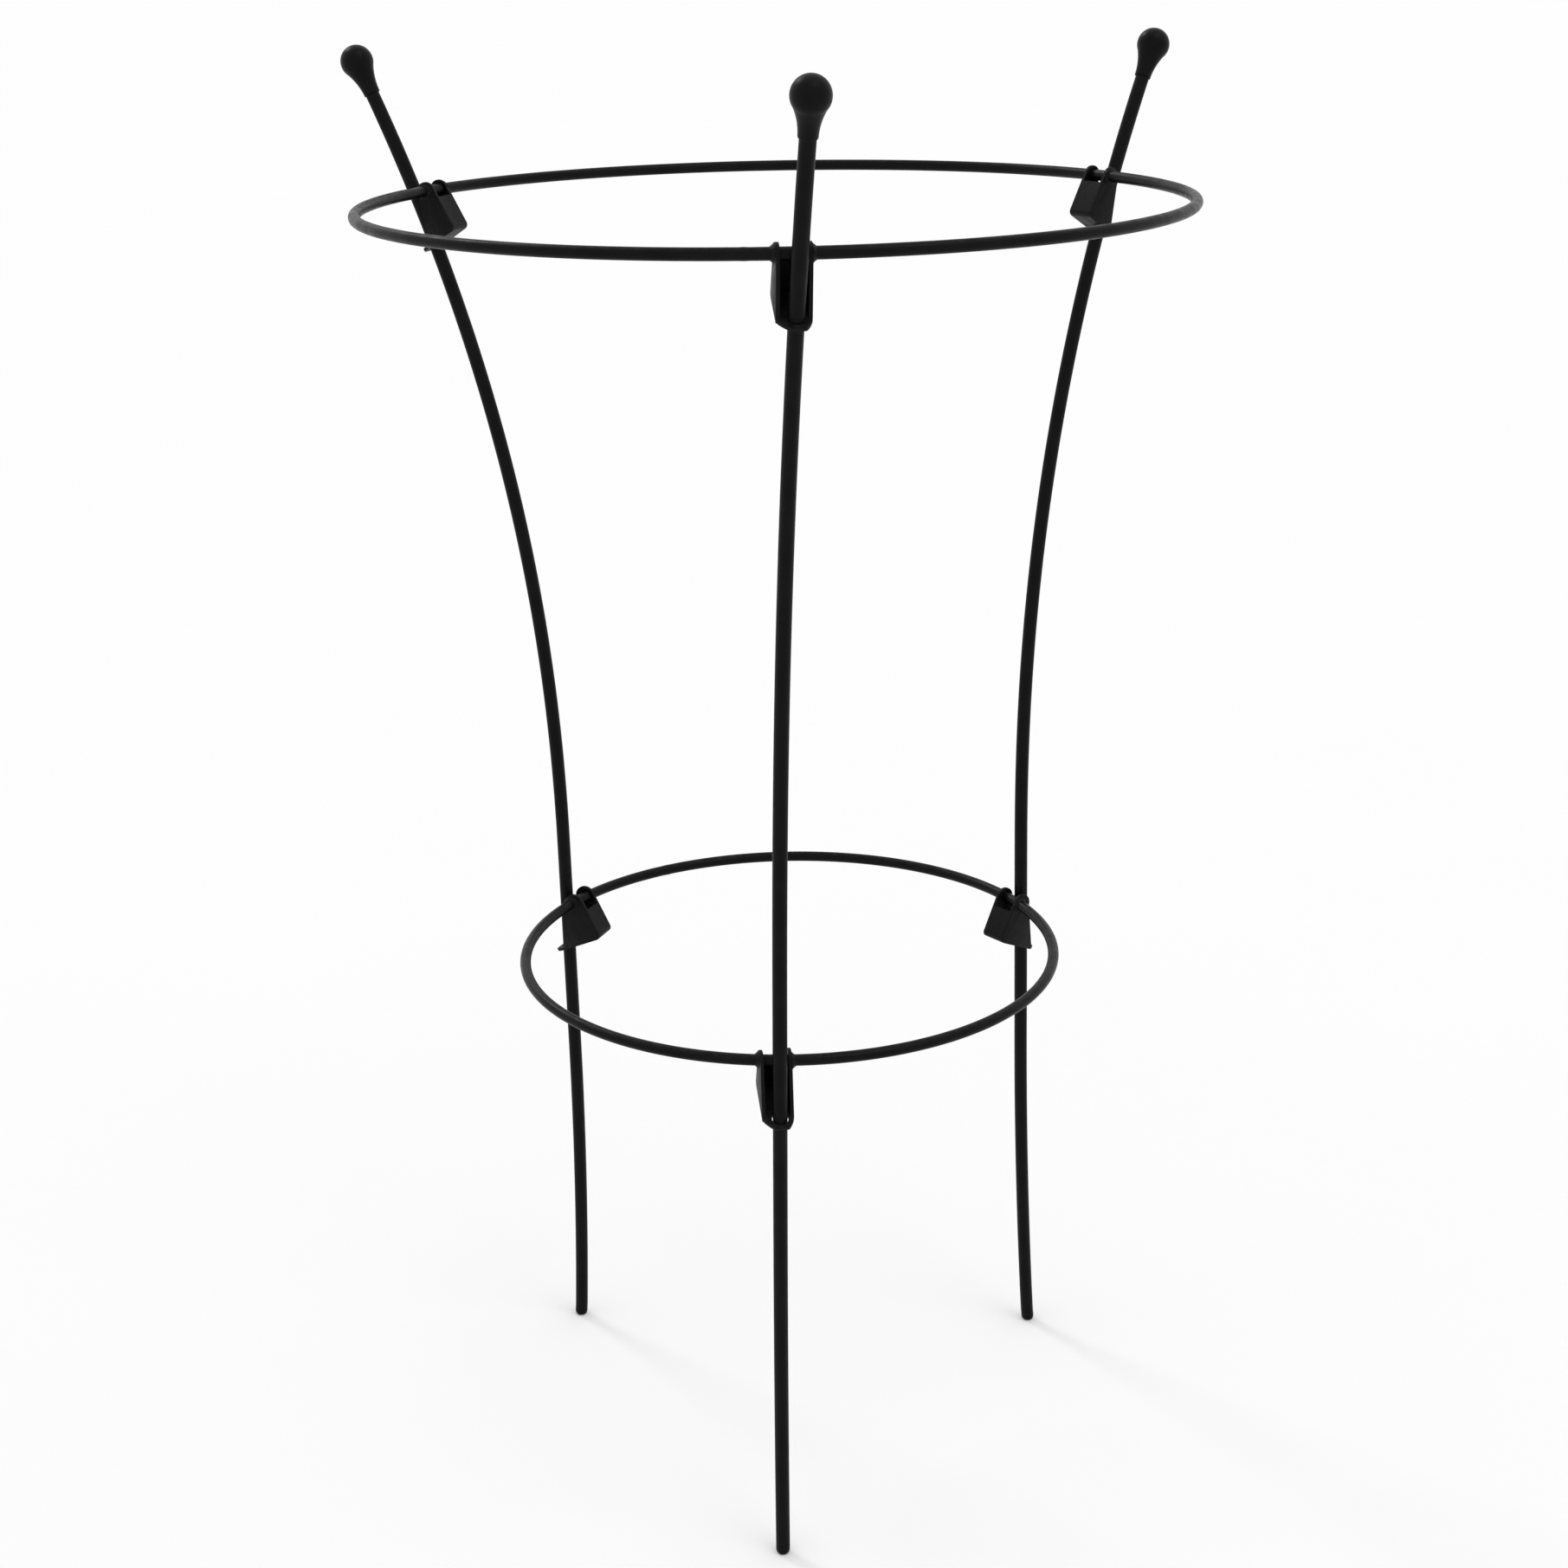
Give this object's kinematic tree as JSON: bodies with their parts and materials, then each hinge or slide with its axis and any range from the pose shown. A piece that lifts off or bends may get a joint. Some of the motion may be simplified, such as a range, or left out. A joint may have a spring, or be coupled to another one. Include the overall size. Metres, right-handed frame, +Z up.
{
  "type": "plant support cage",
  "caption": "Black steel peony support cage: flared round legs with ball finials, held by a large upper hoop and a smaller lower hoop in folded brackets.",
  "frame": {"origin": "bottom centre of the bounding box, on the ground plane that the feet stand on; the cage's own axis is at x = -0.0103, y = 0.0242", "axes": "+Z up along the legs, -Y towards the front leg"},
  "size_m": [0.4822, 0.5056, 0.8185],
  "materials": {
    "leg_coat": "semi-gloss black powder coat on 8 mm steel rod",
    "hoop_coat": "semi-gloss black powder coat on 6.35 mm steel rod",
    "finial_coat": "semi-gloss black powder coat on a turned ball",
    "bracket_coat": "satin black powder coat on 2 mm folded sheet steel"
  },
  "bodies": {
    "cage": {"leg_front": "leg_coat", "leg_left": "leg_coat", "leg_right": "leg_coat", "finial_front": "finial_coat", "finial_left": "finial_coat", "finial_right": "finial_coat", "upper_hoop": "hoop_coat", "upper_bracket_front": "bracket_coat", "upper_bracket_left": "bracket_coat", "upper_bracket_right": "bracket_coat"},
    "lower_ring": {"lower_hoop": "hoop_coat", "lower_bracket_front": "bracket_coat", "lower_bracket_left": "bracket_coat", "lower_bracket_right": "bracket_coat"}
  },
  "joints": [
    {"name": "lower_ring_slide", "type": "slide", "parent": "cage", "child": "lower_ring", "axis": [0, 0, 1], "range_m": [-0.03, 0.03]}
  ]
}
